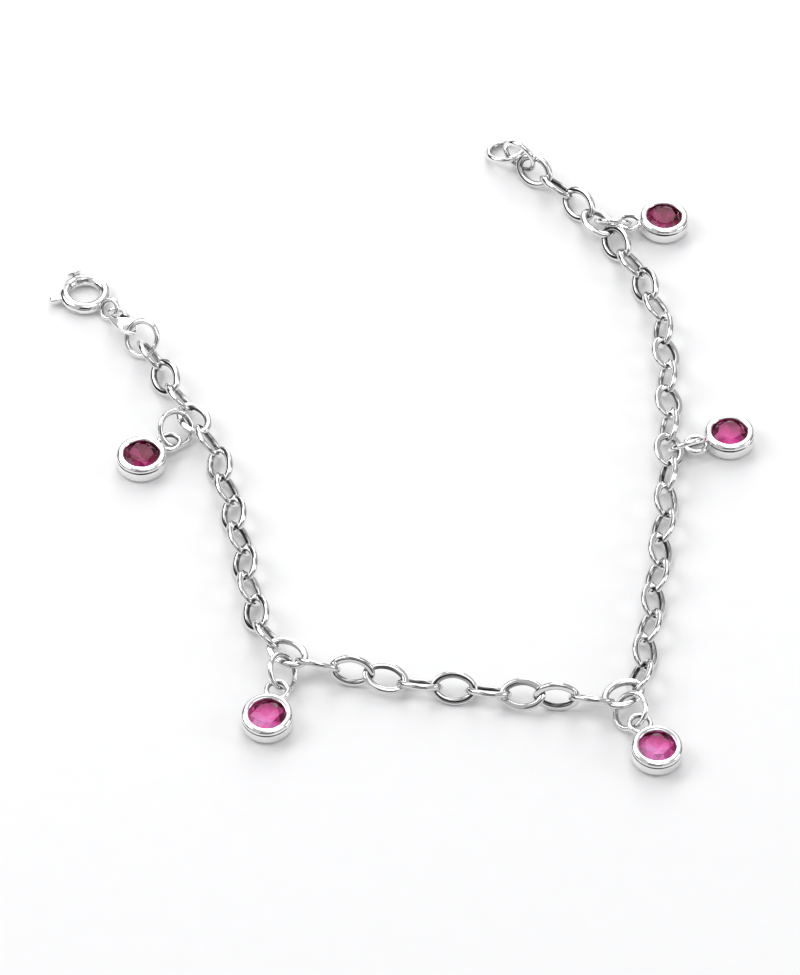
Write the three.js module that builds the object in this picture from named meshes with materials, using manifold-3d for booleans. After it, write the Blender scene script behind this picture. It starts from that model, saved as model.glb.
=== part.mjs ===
// An open link bracelet of polished silver with five charms, lying on a surface in a U.
// Millimetres, +Z up. The origin is under the middle of the box round the whole bracelet.
import * as THREE from "three";
import { mergeVertices } from "three/addons/utils/BufferGeometryUtils.js";
import { ConvexGeometry } from "three/addons/geometries/ConvexGeometry.js";
import Module from "manifold-3d";

// Chain links: outer length and width, wire, and how far neighbouring wires are pressed together
const LINK_LENGTH = 5.6;
const LINK_WIDTH = 4.0;
const LINK_WIRE = 0.8;
const LINK_BITE = 0.1;
const LINK_FULLNESS = 1.9;
const LINK_SIDES = 12;
const LINK_WIRE_SIDES = 5;

// Jump rings, and the larger ring that the clasp closes on
const RING_OUTER = 5.0;
const RING_WIRE = 0.68;
const CATCH_OUTER = 5.2;
const CATCH_WIRE = 0.8;
const RING_SIDES = 16;
const RING_WIRE_SIDES = 6;

// Charms: the bezel cup with its soldered eye, and the stone
const BEZEL_OUTER = 6.1;
const BEZEL_HEIGHT = 2.3;
const BEZEL_FLOOR = 0.4;
const BEZEL_RIM_HEIGHT = 0.5;
const BEZEL_RIM_ROUND = 0.34;
const BEZEL_OPENING = 4.6;
const BEZEL_CREASE = 0.08;
const BEZEL_BACK_ROUND = 0.45;
const BEZEL_SIDES = 20;
const EYE_OUTER = 3.2;
const EYE_WIRE = 0.65;
const EYE_HEIGHT = 1.1;
const SOLDER_BITE = 0.35;
const STONE_DIAMETER = 4.9;
const STONE_SEAT = 1.62;
const STONE_CROWN = 0.62;
const STONE_GIRDLE = 0.12;
const STONE_TABLE_SHARE = 0.62;
const STONE_STAR_SHARE = 0.83;
const STONE_STAR_RISE = 0.58;
const STONE_POINT_SHARE = 0.08;
const STONE_FACETS = 8;
const STONE_GAP = 0.15;

// Clasp: a spring ring with a sliding bolt, its trigger, fixed tab and soldered eye; bearings in
// degrees. Its cuts start at a radius in the open middle
const CLASP_OUTER = 6.4;
const CLASP_TUBE = 1.45;
const CLASP_BORE = 1.02;
const CLASP_SIDES = 24;
const CLASP_TUBE_SIDES = 10;
const BOLT_WIRE = 0.7;
const BOLT_SIDES = 8;
const GATE_FROM = 148;
const GATE_TO = 176;
const BOLT_TAIL = 78;
const BOLT_TIP = 188;
const BOLT_TRAVEL = 38;
const TRIGGER_AT = 112;
const TRIGGER_STEM = 0.5;
const TRIGGER_REACH = 1.05;
const TRIGGER_BAR_LENGTH = 1.7;
const TRIGGER_BAR_WIDTH = 0.4;
const TRIGGER_BAR_HEIGHT = 0.6;
const SLOT_CLEARANCE = 0.12;
const CUT_FROM = 0.8;
const TAB_AT = 196;
const TAB_REACH = 1.35;
const TAB_WIDTH = 0.85;
const TAB_HEIGHT = 0.85;
const CLASP_EYE_OUTER = 3.0;
const CLASP_EYE_WIRE = 0.6;
const CLASP_EYE_AT = -45;
const CLASP_EYE_HEIGHT = 1.26;
const CLASP_EYE_LEAN = 46;

// Tag: a flat oval plate with a hole at each end
const TAG_LENGTH = 6.6;
const TAG_WIDTH = 2.7;
const TAG_THICKNESS = 0.4;
const TAG_HOLE = 1.6;
const TAG_HOLE_MARGIN = 0.5;
const TAG_CURVE_STEPS = 10;

// Clearances: between a ring's wire and the wire it is hooked on, and above the surface
const PLAY = 0.18;
const FLOOR_GAP = 0.03;

// The chain's lay, stretch by stretch: heading of its first and last link, and the roll of its
// even and odd links about the chain, in degrees
const LAY = [
  { links: 5, from: -64, to: -63, even: -50, odd: 42 },
  { links: 6, from: -76, to: -82, even: -45, odd: 45 },
  { links: 2, from: -75, to: -66, even: -50, odd: 45 },
  { links: 2, from: -38, to: -12, even: -50, odd: 45 },
  { links: 2, from: -10, to: -15, even: 14, odd: 68 },
  { links: 3, from: -8, to: -8, even: 38, odd: -38 },
  { links: 2, from: -12, to: -4, even: 25, odd: 80 },
  { links: 2, from: -10, to: 32, even: -45, odd: 45 },
  { links: 8, from: 80.5, to: 84.5, even: -45, odd: 45 },
  { links: 7, from: 86.5, to: 93.5, even: -58, odd: 30 },
  { links: 8, from: 106.5, to: 136.5, even: -50, odd: 40 },
];

// The charms: the link that each hangs from, its roll and height over its own half width; the
// ring's tilt from flat and the bearing of its low side; the side of the ring that the link and the
// eye lie on, and how far out; the bearing of the bezel from its eye, and the bezel's own tilt
const CHARMS = [
  { link: 3, roll: 0, height: 1.94, along: 0.32, tilt: 47, low: -50, linkSide: 1, eyeSide: -1,
    linkOut: 0.9, eyeOut: 0.77, bearing: -140, lift: 1 },
  { link: 13, roll: 5, height: 2.32, along: 1.0, tilt: 52, low: -22, linkSide: 1, eyeSide: -1,
    linkOut: 0.9, eyeOut: 1.0, bearing: -105, lift: 5 },
  { link: 23, roll: 4, height: 2.16, along: -0.22, tilt: 41, low: -151, linkSide: -1, eyeSide: 1,
    linkOut: 0.76, eyeOut: 0.74, bearing: -64, lift: 5 },
  { link: 33, roll: 21, height: 1.84, along: 1.0, tilt: 55, low: 110.5, linkSide: 1, eyeSide: -1,
    linkOut: 0.98, eyeOut: 0.97, bearing: 17.5, lift: 0 },
  { link: 43, roll: 8, height: 1.68, along: -0.6, tilt: 48, low: 86.5, linkSide: 1, eyeSide: -1,
    linkOut: 0.6, eyeOut: 0.81, bearing: 3.5, lift: 2 },
];

// The two end rings: tilt, bearing of the low side, side that the link lies on, and where round
// the ring the tag or the catch ring passes, with its bearing
const TAG_RING = { tilt: 47, low: -128, linkSide: 1, linkOut: 0.5,
  tagAt: -84, tagBearing: 117, tagRoll: 8 };
const END_RING = { tilt: 85, low: 53.5, linkSide: -1, linkOut: 0.73,
  catchAt: 134, catchBearing: 119.5 };

const wasm = await Module();
wasm.setup();

const silver = new THREE.MeshStandardMaterial({ color: 0xe9e9ee, metalness: 1, roughness: 0.12 });
const ruby = new THREE.MeshStandardMaterial({ color: 0xc23c82, metalness: 0, roughness: 0.05 });

// How far in from a corner the middle of its round lies, as a share of the round's radius
const ROUND_MIDDLE = 1 - Math.SQRT1_2;
const UP = new THREE.Vector3(0, 0, 1);
const radians = THREE.MathUtils.degToRad;
const bracelet = new THREE.Group();

// A horizontal unit vector on a bearing in degrees, sloped down by a fall in degrees
function onBearing(bearing, fall = 0) {
  const level = Math.cos(radians(fall));
  return new THREE.Vector3(
    level * Math.cos(radians(bearing)),
    level * Math.sin(radians(bearing)),
    -Math.sin(radians(fall)),
  );
}

// The matrix of a frame with the given x and y directions at a place
function frameAt(place, xDirection, yDirection) {
  const zDirection = new THREE.Vector3().crossVectors(xDirection, yDirection);
  return new THREE.Matrix4().makeBasis(xDirection, yDirection, zDirection).setPosition(place);
}

// A closed geometry as a solid
function solidOf(geometry) {
  const bare = geometry.clone();
  bare.deleteAttribute("normal");
  bare.deleteAttribute("uv");
  const merged = mergeVertices(bare, 1e-4);
  return new wasm.Manifold(
    new wasm.Mesh({
      numProp: 3,
      vertProperties: new Float32Array(merged.attributes.position.array),
      triVerts: new Uint32Array(merged.index.array),
    }),
  );
}

// A solid as a geometry
function geometryOf(solid) {
  const { numProp, vertProperties, triVerts } = solid.getMesh();
  const places = new Float32Array((vertProperties.length / numProp) * 3);
  for (let i = 0; i * numProp < vertProperties.length; i += 1) {
    places.set(vertProperties.subarray(i * numProp, i * numProp + 3), i * 3);
  }
  const geometry = new THREE.BufferGeometry();
  geometry.setAttribute("position", new THREE.BufferAttribute(places, 3));
  geometry.setIndex(new THREE.BufferAttribute(new Uint32Array(triVerts), 1));
  geometry.computeVertexNormals();
  return geometry;
}

// Adds a named mesh to the bracelet
function add(name, geometry, material) {
  const mesh = new THREE.Mesh(geometry, material);
  mesh.name = name;
  bracelet.add(mesh);
}

// A wire bent round a flat oval in the xy plane; fullness 2 is an ellipse, more is squarer
function ovalWire(length, width, wire, fullness, sides, wireSides) {
  const halfLength = (length - wire) / 2;
  const halfWidth = (width - wire) / 2;
  const soften = (value) => Math.sign(value) * Math.abs(value) ** (2 / fullness);
  const at = (angle) =>
    new THREE.Vector3(halfLength * soften(Math.cos(angle)), halfWidth * soften(Math.sin(angle)), 0);
  const places = [];
  const faces = [];
  for (let i = 0; i < sides; i += 1) {
    const angle = (2 * Math.PI * i) / sides;
    const step = Math.PI / sides / 4;
    const along = at(angle + step).sub(at(angle - step)).normalize();
    const outward = new THREE.Vector3().crossVectors(along, UP);
    for (let j = 0; j < wireSides; j += 1) {
      const round = Math.PI + (2 * Math.PI * j) / wireSides;
      const place = at(angle);
      place.addScaledVector(outward, (wire / 2) * Math.cos(round));
      place.addScaledVector(UP, (wire / 2) * Math.sin(round));
      places.push(place.x, place.y, place.z);
      const next = ((i + 1) % sides) * wireSides;
      const k = (j + 1) % wireSides;
      faces.push(i * wireSides + j, next + j, next + k);
      faces.push(i * wireSides + j, next + k, i * wireSides + k);
    }
  }
  const geometry = new THREE.BufferGeometry();
  geometry.setAttribute("position", new THREE.Float32BufferAttribute(places, 3));
  geometry.setIndex(faces);
  return geometry;
}

const roundWire = (outer, wire) =>
  ovalWire(outer, outer, wire, 2, RING_SIDES, RING_WIRE_SIDES);

// Where each link lies: its centre, the direction along it and the direction across it
function layChain() {
  const pitch = LINK_LENGTH - 2 * LINK_WIRE + LINK_BITE;
  const halfWidth = (LINK_WIDTH - LINK_WIRE) / 2;
  const links = [];
  for (const stretch of LAY) {
    for (let k = 0; k < stretch.links; k += 1) {
      const share = stretch.links > 1 ? k / (stretch.links - 1) : 0;
      const heading = stretch.from + (stretch.to - stretch.from) * share;
      const roll = links.length % 2 === 0 ? stretch.even : stretch.odd;
      links.push({ heading, roll: radians(roll) });
    }
  }
  for (const link of links) {
    link.height = halfWidth * Math.abs(Math.sin(link.roll)) + LINK_WIRE / 2;
  }
  for (const charm of CHARMS) {
    links[charm.link].roll = radians(charm.roll);
    links[charm.link].height = charm.height;
  }
  const place = new THREE.Vector3(0, 0, links[0].height);
  links.forEach((link, i) => {
    const next = links[Math.min(i + 1, links.length - 1)];
    const end = place.clone().addScaledVector(onBearing(link.heading), pitch);
    end.z = Math.max(link.height, next.height);
    link.centre = place.clone().add(end).multiplyScalar(0.5);
    link.along = end.clone().sub(place).normalize();
    const level = new THREE.Vector3().crossVectors(UP, link.along).normalize();
    const upright = new THREE.Vector3().crossVectors(link.along, level);
    link.across = level.multiplyScalar(Math.cos(link.roll));
    link.across.addScaledVector(upright, Math.sin(link.roll));
    place.copy(end);
  });
  return links;
}

// A tilted ring that rests on the surface: its centre is found from one point inside it
function leanRing(tilt, low, outer, wire) {
  const radius = (outer - wire) / 2;
  const uphill = onBearing(low, tilt).negate();
  const level = onBearing(low + 90);
  const height = radius * Math.sin(radians(tilt)) + wire / 2 + FLOOR_GAP;
  return { radius, wire, uphill, level, height, rise: Math.sin(radians(tilt)) };
}

// The direction in a leaning ring's plane from its centre to a point at a height, at a reach
function towards(ring, height, reach, side) {
  const climb = THREE.MathUtils.clamp((height - ring.height) / (reach * ring.rise), -1, 1);
  return ring.uphill
    .clone()
    .multiplyScalar(climb)
    .addScaledVector(ring.level, side * Math.sqrt(1 - climb * climb));
}

const reachIn = (ring, wire, share) => (ring.radius - (ring.wire + wire) / 2 - PLAY) * share;

const links = layChain();
const tagSpacing = TAG_LENGTH - TAG_HOLE - 2 * TAG_HOLE_MARGIN;

// The chain: every link threaded through the last and pressed against it
function makeChain() {
  const link = ovalWire(
    LINK_LENGTH, LINK_WIDTH, LINK_WIRE, LINK_FULLNESS, LINK_SIDES, LINK_WIRE_SIDES,
  );
  const solids = links.map(({ centre, along, across }) =>
    solidOf(link.clone().applyMatrix4(frameAt(centre, along, across))),
  );
  add("chain", geometryOf(wasm.Manifold.union(solids)), silver);
}

// The height of the stone's crown at a radius, in the bezel's frame
function crownAt(radius) {
  const girdle = STONE_DIAMETER / 2;
  const share = (girdle - radius) / (girdle * (1 - STONE_STAR_SHARE));
  return STONE_SEAT + STONE_CROWN * STONE_STAR_RISE * share;
}

// The bezel's cup in its own frame: axis on z, flat back on z = 0
function bezelCup() {
  const outer = BEZEL_OUTER / 2;
  const cavity = STONE_DIAMETER / 2 + STONE_GAP;
  const rimFoot = BEZEL_HEIGHT - BEZEL_RIM_HEIGHT;
  const lip = BEZEL_OPENING / 2;
  const lipUnder = crownAt(lip) + STONE_GAP;
  const profile = [
    [0, 0],
    [outer - BEZEL_BACK_ROUND, 0],
    [outer - BEZEL_BACK_ROUND * ROUND_MIDDLE, BEZEL_BACK_ROUND * ROUND_MIDDLE],
    [outer, BEZEL_BACK_ROUND],
    [outer - BEZEL_CREASE, rimFoot - BEZEL_CREASE],
    [outer - 2 * BEZEL_CREASE, rimFoot],
    [outer, BEZEL_HEIGHT - BEZEL_RIM_ROUND],
    [outer - BEZEL_RIM_ROUND * ROUND_MIDDLE, BEZEL_HEIGHT - BEZEL_RIM_ROUND * ROUND_MIDDLE],
    [outer - BEZEL_RIM_ROUND, BEZEL_HEIGHT],
    [lip, (lipUnder + BEZEL_HEIGHT) / 2],
    [lip, lipUnder],
    [cavity, rimFoot],
    [cavity, BEZEL_FLOOR],
    [0, BEZEL_FLOOR],
  ];
  const points = profile.map(([radius, height]) => new THREE.Vector2(radius, height));
  return new THREE.LatheGeometry(points, BEZEL_SIDES).rotateX(Math.PI / 2);
}

// The stone in the bezel's frame: table, star and girdle rings, and a blunt point below
function stoneGem() {
  const radius = STONE_DIAMETER / 2;
  const points = [];
  const ring = (count, share, height, turn) => {
    for (let k = 0; k < count; k += 1) {
      const angle = (2 * Math.PI * (k + turn)) / count;
      points.push(new THREE.Vector3(
        radius * share * Math.cos(angle), radius * share * Math.sin(angle), height,
      ));
    }
  };
  ring(STONE_FACETS, STONE_TABLE_SHARE, STONE_SEAT + STONE_CROWN, 0);
  ring(STONE_FACETS, STONE_STAR_SHARE, STONE_SEAT + STONE_CROWN * STONE_STAR_RISE, 0.5);
  ring(2 * STONE_FACETS, 1, STONE_SEAT, 0);
  ring(2 * STONE_FACETS, 1, STONE_SEAT - STONE_GIRDLE, 0);
  ring(STONE_FACETS, STONE_POINT_SHARE, BEZEL_FLOOR + STONE_GAP, 0.5);
  return new ConvexGeometry(points);
}

// A charm on its link: the jump ring, the bezel with its eye, and the stone
function makeCharm(charm, number) {
  const link = links[charm.link];
  const hold = link.centre
    .clone()
    .addScaledVector(link.across, -(LINK_WIDTH - LINK_WIRE) / 2)
    .addScaledVector(link.along, charm.along);
  const ring = leanRing(charm.tilt, charm.low, RING_OUTER, RING_WIRE);
  const linkReach = reachIn(ring, LINK_WIRE, charm.linkOut);
  const centre = hold
    .clone()
    .addScaledVector(towards(ring, hold.z, linkReach, charm.linkSide), -linkReach);
  add(
    `charm_ring_${number}`,
    roundWire(RING_OUTER, RING_WIRE).applyMatrix4(frameAt(centre, ring.uphill, ring.level)),
    silver,
  );

  const eyeRadius = (EYE_OUTER - EYE_WIRE) / 2;
  const eyeOut = BEZEL_OUTER / 2 + EYE_OUTER / 2 - SOLDER_BITE;
  const span = BEZEL_OUTER / 2 + eyeOut + eyeRadius;
  const lift = radians(charm.lift);
  const eyeTop = span * Math.sin(lift) + EYE_HEIGHT * Math.cos(lift);
  const eyeReach = reachIn(ring, EYE_WIRE, charm.eyeOut);
  const outward = onBearing(charm.bearing, charm.lift);
  const sideways = onBearing(charm.bearing + 90);
  const upright = new THREE.Vector3().crossVectors(outward, sideways);
  const back = centre
    .clone()
    .addScaledVector(towards(ring, eyeTop, eyeReach, charm.eyeSide), eyeReach)
    .addScaledVector(outward, eyeRadius + eyeOut)
    .addScaledVector(upright, -EYE_HEIGHT);
  const place = frameAt(back, outward, sideways);
  const eye = roundWire(EYE_OUTER, EYE_WIRE).translate(-eyeOut, 0, EYE_HEIGHT);
  const bezel = solidOf(bezelCup()).add(solidOf(eye));
  add(`bezel_${number}`, geometryOf(bezel).applyMatrix4(place), silver);
  add(`stone_${number}`, stoneGem().applyMatrix4(place), ruby);
}

// A round bar bent into a full ring on z, with its middle at the origin
function fullRing(outer, wire, sides, wireSides) {
  return solidOf(ovalWire(outer, outer, wire, 2, sides, wireSides));
}

// A block round z between two bearings and two radii, from below to above the xy plane
function sector(from, to, inner, outer, halfHeight) {
  const shape = new THREE.Shape();
  shape.absarc(0, 0, outer, radians(from), radians(to), false);
  shape.absarc(0, 0, inner, radians(to), radians(from), true);
  shape.closePath();
  const block = new THREE.ExtrudeGeometry(shape, {
    depth: 2 * halfHeight,
    bevelEnabled: false,
    curveSegments: CLASP_SIDES,
  });
  return solidOf(block.translate(0, 0, -halfHeight));
}

// A box that reaches outward from z on a bearing, between two radii
function radialBox(bearing, inner, outer, width, height) {
  const bar = new THREE.BoxGeometry(outer - inner, width, height);
  bar.translate((inner + outer) / 2, 0, 0).rotateZ(radians(bearing));
  return solidOf(bar);
}

const claspRadius = (CLASP_OUTER - CLASP_TUBE) / 2;
const claspEyeOut = (CLASP_OUTER + CLASP_EYE_OUTER) / 2 - SOLDER_BITE;

// The clasp's tube, open at the gate and slotted for the trigger, with its tab and eye
function claspBody() {
  const halfTube = CLASP_TUBE / 2;
  const eye = ovalWire(
    CLASP_EYE_OUTER, CLASP_EYE_OUTER, CLASP_EYE_WIRE, 2, RING_SIDES, RING_WIRE_SIDES,
  );
  eye.rotateX(radians(CLASP_EYE_LEAN));
  eye.translate(claspEyeOut, 0, CLASP_EYE_HEIGHT - halfTube).rotateZ(radians(CLASP_EYE_AT));
  const tabFoot = claspRadius + halfTube - SOLDER_BITE;
  const tab = radialBox(TAB_AT, tabFoot, CLASP_OUTER / 2 + TAB_REACH, TAB_WIDTH, TAB_HEIGHT);
  const bore = fullRing(2 * claspRadius + CLASP_BORE, CLASP_BORE, CLASP_SIDES, BOLT_SIDES);
  const gate = sector(GATE_FROM, GATE_TO, CUT_FROM, CLASP_OUTER, CLASP_TUBE);
  const halfStem = THREE.MathUtils.radToDeg((TRIGGER_STEM / 2 + SLOT_CLEARANCE) / claspRadius);
  const slot = sector(
    TRIGGER_AT - BOLT_TRAVEL - halfStem,
    TRIGGER_AT + halfStem,
    claspRadius,
    CLASP_OUTER,
    TRIGGER_STEM / 2 + SLOT_CLEARANCE,
  );
  return fullRing(CLASP_OUTER, CLASP_TUBE, CLASP_SIDES, CLASP_TUBE_SIDES)
    .add(solidOf(eye))
    .add(tab)
    .subtract(bore)
    .subtract(gate)
    .subtract(slot);
}

// The bolt inside the tube, with the stem and the bar of its trigger
function claspBolt() {
  const wire = fullRing(2 * claspRadius + BOLT_WIRE, BOLT_WIRE, CLASP_SIDES, BOLT_SIDES);
  const reach = CLASP_OUTER / 2 + TRIGGER_REACH;
  const span = sector(BOLT_TAIL, BOLT_TIP, CUT_FROM, CLASP_OUTER, CLASP_TUBE);
  const stem = radialBox(TRIGGER_AT, claspRadius, reach, TRIGGER_STEM, TRIGGER_STEM);
  const bar = radialBox(
    TRIGGER_AT, reach - TRIGGER_BAR_WIDTH, reach, TRIGGER_BAR_LENGTH, TRIGGER_BAR_HEIGHT,
  );
  return wire.intersect(span).add(stem).add(bar);
}

// The flat tag in its own frame, long on x
function tagPlate() {
  const half = TAG_LENGTH / 2;
  const plate = new THREE.Shape();
  plate.absellipse(0, 0, half, TAG_WIDTH / 2, 0, 2 * Math.PI, false);
  for (const end of [-1, 1]) {
    const hole = new THREE.Path();
    hole.absarc(end * (tagSpacing / 2), 0, TAG_HOLE / 2, 0, 2 * Math.PI, true);
    plate.holes.push(hole);
  }
  const solid = new THREE.ExtrudeGeometry(plate, {
    depth: TAG_THICKNESS,
    bevelEnabled: false,
    curveSegments: TAG_CURVE_STEPS,
  });
  return solid.translate(0, 0, -TAG_THICKNESS / 2);
}

// A jump ring hooked through the open end of the chain's first or last link
function hookEnd(name, link, end, pose) {
  const hold = link.centre
    .clone()
    .addScaledVector(link.along, (end * (LINK_LENGTH - LINK_WIRE)) / 2);
  const ring = leanRing(pose.tilt, pose.low, RING_OUTER, RING_WIRE);
  const reach = reachIn(ring, LINK_WIRE, pose.linkOut);
  ring.centre = hold.addScaledVector(towards(ring, hold.z, reach, pose.linkSide), -reach);
  add(
    name,
    roundWire(RING_OUTER, RING_WIRE).applyMatrix4(frameAt(ring.centre, ring.uphill, ring.level)),
    silver,
  );
  return ring;
}

// The place at an angle round a leaning ring from its high side, at a distance from its centre
function roundRing(ring, angle, distance) {
  return ring.centre
    .clone()
    .addScaledVector(ring.uphill, distance * Math.cos(radians(angle)))
    .addScaledVector(ring.level, distance * Math.sin(radians(angle)));
}

// The clasp's end: jump ring, tag, and the clasp lying flat
function makeClaspEnd() {
  const ring = hookEnd("tag_ring", links[0], -1, TAG_RING);
  const near = roundRing(ring, TAG_RING.tagAt, ring.radius);
  const fall = THREE.MathUtils.radToDeg(Math.asin((near.z - CLASP_EYE_HEIGHT) / tagSpacing));
  const along = onBearing(TAG_RING.tagBearing, fall);
  const level = onBearing(TAG_RING.tagBearing + 90);
  const upright = new THREE.Vector3().crossVectors(along, level);
  const across = level.multiplyScalar(Math.cos(radians(TAG_RING.tagRoll)));
  across.addScaledVector(upright, Math.sin(radians(TAG_RING.tagRoll)));
  const middle = near.clone().addScaledVector(along, tagSpacing / 2);
  add("tag", tagPlate().applyMatrix4(frameAt(middle, along, across)), silver);

  const far = near.clone().addScaledVector(along, tagSpacing);
  const reach = (CLASP_EYE_OUTER - CLASP_EYE_WIRE) / 2 + claspEyeOut;
  const place = far.addScaledVector(onBearing(CLASP_EYE_AT), -reach).setZ(CLASP_TUBE / 2);
  const move = new THREE.Matrix4().setPosition(place);
  add("clasp_body", geometryOf(claspBody()).applyMatrix4(move), silver);
  add("clasp_bolt", geometryOf(claspBolt()).applyMatrix4(move), silver);
}

// The other end: a jump ring, and the catch ring leaning on it
function makeCatchEnd() {
  const ring = hookEnd("end_ring", links[links.length - 1], 1, END_RING);
  const inside = ring.radius - (RING_WIRE + CATCH_WIRE) / 2 - PLAY;
  const held = roundRing(ring, END_RING.catchAt, inside);
  const radius = (CATCH_OUTER - CATCH_WIRE) / 2;
  const drop = held.z - CATCH_WIRE / 2 - FLOOR_GAP;
  const tilt = THREE.MathUtils.radToDeg(Math.asin(drop / (2 * radius)));
  const outward = onBearing(END_RING.catchBearing, tilt);
  const centre = held.addScaledVector(outward, radius);
  const catchRing = ovalWire(
    CATCH_OUTER, CATCH_OUTER, CATCH_WIRE, 2, RING_SIDES, RING_WIRE_SIDES,
  );
  const place = frameAt(centre, outward, onBearing(END_RING.catchBearing + 90));
  add("catch_ring", catchRing.applyMatrix4(place), silver);
}

makeChain();
CHARMS.forEach((charm, i) => makeCharm(charm, i + 1));
makeClaspEnd();
makeCatchEnd();

bracelet.updateMatrixWorld(true);
const box = new THREE.Box3().setFromObject(bracelet, true);
bracelet.position.set(-(box.min.x + box.max.x) / 2, -(box.min.y + box.max.y) / 2, -box.min.z);

export default bracelet;
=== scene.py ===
"""The looks of a silver link bracelet with five stone charms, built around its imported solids.

+Z is up and the bracelet lies on z = 0. Its pieces are shaped in millimetres, and each finished
mesh is scaled to metres once; the floor, the lights and the camera are in metres. The lay of the
chain, the rings and the charms follows the solids' own formulas, so each piece is where its solid
is.
"""

from __future__ import annotations

import logging
import math
from dataclasses import dataclass, field
from enum import Enum
from typing import Callable, Sequence

import bmesh
import bpy
from mathutils import Matrix, Vector

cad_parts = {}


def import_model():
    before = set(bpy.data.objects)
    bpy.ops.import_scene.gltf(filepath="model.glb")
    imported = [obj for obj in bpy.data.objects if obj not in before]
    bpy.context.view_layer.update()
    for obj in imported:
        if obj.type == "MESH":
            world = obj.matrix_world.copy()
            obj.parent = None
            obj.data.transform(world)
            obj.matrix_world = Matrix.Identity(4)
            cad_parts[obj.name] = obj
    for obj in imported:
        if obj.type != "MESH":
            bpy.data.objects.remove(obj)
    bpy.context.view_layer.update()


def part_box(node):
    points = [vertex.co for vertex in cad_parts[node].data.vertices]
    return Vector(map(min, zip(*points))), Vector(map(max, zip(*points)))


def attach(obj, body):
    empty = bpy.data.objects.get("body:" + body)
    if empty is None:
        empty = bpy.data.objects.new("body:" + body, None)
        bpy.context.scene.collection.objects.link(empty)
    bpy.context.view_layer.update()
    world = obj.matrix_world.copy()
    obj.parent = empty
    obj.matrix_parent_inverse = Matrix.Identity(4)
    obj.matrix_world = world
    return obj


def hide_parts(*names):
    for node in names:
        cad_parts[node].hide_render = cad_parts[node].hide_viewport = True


LOG = logging.getLogger("bracelet")
MM = 0.001
UP = Vector((0.0, 0.0, 1.0))
FULL_TURN = 2 * math.pi
# Steps of this share spread well, so no two near links carry the same painted shade and dullness.
GOLDEN = 0.618
# How much brighter the painted glow on the foil of each stone is than on a plain one.
LIGHT_CAUGHT = (-0.9, 0.06, 0.12, -0.3, -0.9)

Colour = tuple[float, float, float, float]
Triple = tuple[float, float, float]
Values = dict[str | int, object]
Verts = list[bmesh.types.BMVert]
Edges = list[bmesh.types.BMEdge]


class Body(Enum):
    """The two moving bodies of the bracelet."""

    BRACELET = "bracelet"
    TRIGGER = "trigger"


class Slot(Enum):
    """The record's material slots."""

    SILVER = "silver"
    STONE = "ruby_stone"


def keep_share(value: float) -> float:
    """Keep a value between 0 and 1."""
    return max(0.0, min(1.0, value))


def turn_about_z(angle: float) -> Matrix:
    """Give the matrix of a turn about z by an angle in degrees."""
    return Matrix.Rotation(math.radians(angle), 4, "Z")


def on_bearing(bearing: float, fall: float = 0.0) -> Vector:
    """Give a unit vector on a level bearing, sloped down.

    Args:
        bearing: Degrees from +X towards +Y.
        fall: Degrees below level.

    Returns:
        The unit vector.
    """
    turn, slope = math.radians(bearing), math.radians(fall)
    level = math.cos(slope)
    return Vector((level * math.cos(turn), level * math.sin(turn), -math.sin(slope)))


def frame_at(place: Vector, x_way: Vector, y_way: Vector) -> Matrix:
    """Give the matrix of a frame from its origin and the directions of its x and y axes."""
    turn = Matrix((x_way, y_way, x_way.cross(y_way))).transposed()
    return Matrix.Translation(place) @ turn.to_4x4()


@dataclass(frozen=True)
class Stretch:
    """A run of links: the headings of its ends, and the rolls of even and odd links, in degrees."""

    links: int
    start: float
    stop: float
    even: float
    odd: float


@dataclass(frozen=True)
class CharmPose:
    """How a charm hangs: its link, its ring's lean, and how ring, link and eye meet."""

    link: int
    roll: float
    height: float
    along: float
    tilt: float
    low: float
    link_side: int
    eye_side: int
    link_out: float
    eye_out: float
    bearing: float
    lift: float
    joint: float


LAY = (
    Stretch(5, -64, -63, -50, 42),
    Stretch(6, -76, -82, -45, 45),
    Stretch(2, -75, -66, -50, 45),
    Stretch(2, -38, -12, -50, 45),
    Stretch(2, -10, -15, 14, 68),
    Stretch(3, -8, -8, 38, -38),
    Stretch(2, -12, -4, 25, 80),
    Stretch(2, -10, 32, -45, 45),
    Stretch(8, 80.5, 84.5, -45, 45),
    Stretch(7, 86.5, 93.5, -58, 30),
    Stretch(8, 106.5, 136.5, -50, 40),
)

CHARM_POSES = (
    CharmPose(3, 0, 1.94, 0.32, 47, -50, 1, -1, 0.9, 0.77, -140, 1, 60),
    CharmPose(13, 5, 2.32, 1.0, 52, -22, 1, -1, 0.9, 1.0, -105, 5, 170),
    CharmPose(23, 4, 2.16, -0.22, 41, -151, -1, 1, 0.76, 0.74, -64, 5, 20),
    CharmPose(33, 21, 1.84, 1.0, 55, 110.5, 1, -1, 0.98, 0.97, 17.5, 0, 175),
    CharmPose(43, 8, 1.68, -0.6, 48, 86.5, 1, -1, 0.6, 0.81, 3.5, 2, 15),
)


@dataclass
class LinkPlace:
    """Where one link lies, with its heading in degrees and its roll in radians."""

    heading: float
    roll: float
    height: float
    centre: Vector = field(default_factory=Vector)
    along: Vector = field(default_factory=Vector)
    across: Vector = field(default_factory=Vector)

    def matrix(self) -> Matrix:
        """Give the link's frame: x along it, y across it."""
        return frame_at(self.centre, self.along, self.across)


@dataclass(frozen=True)
class LinkSize:
    """The sizes of a chain link."""

    length: float = 5.6
    width: float = 4.0
    wire: float = 0.8
    bite: float = 0.1
    fullness: float = 1.9

    @property
    def half_width(self) -> float:
        """Half the width between the middles of the wire."""
        return (self.width - self.wire) / 2

    @property
    def half_length(self) -> float:
        """Half the length between the middles of the wire."""
        return (self.length - self.wire) / 2

    @property
    def pitch(self) -> float:
        """The distance from one link to the next."""
        return self.length - 2 * self.wire + self.bite


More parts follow.
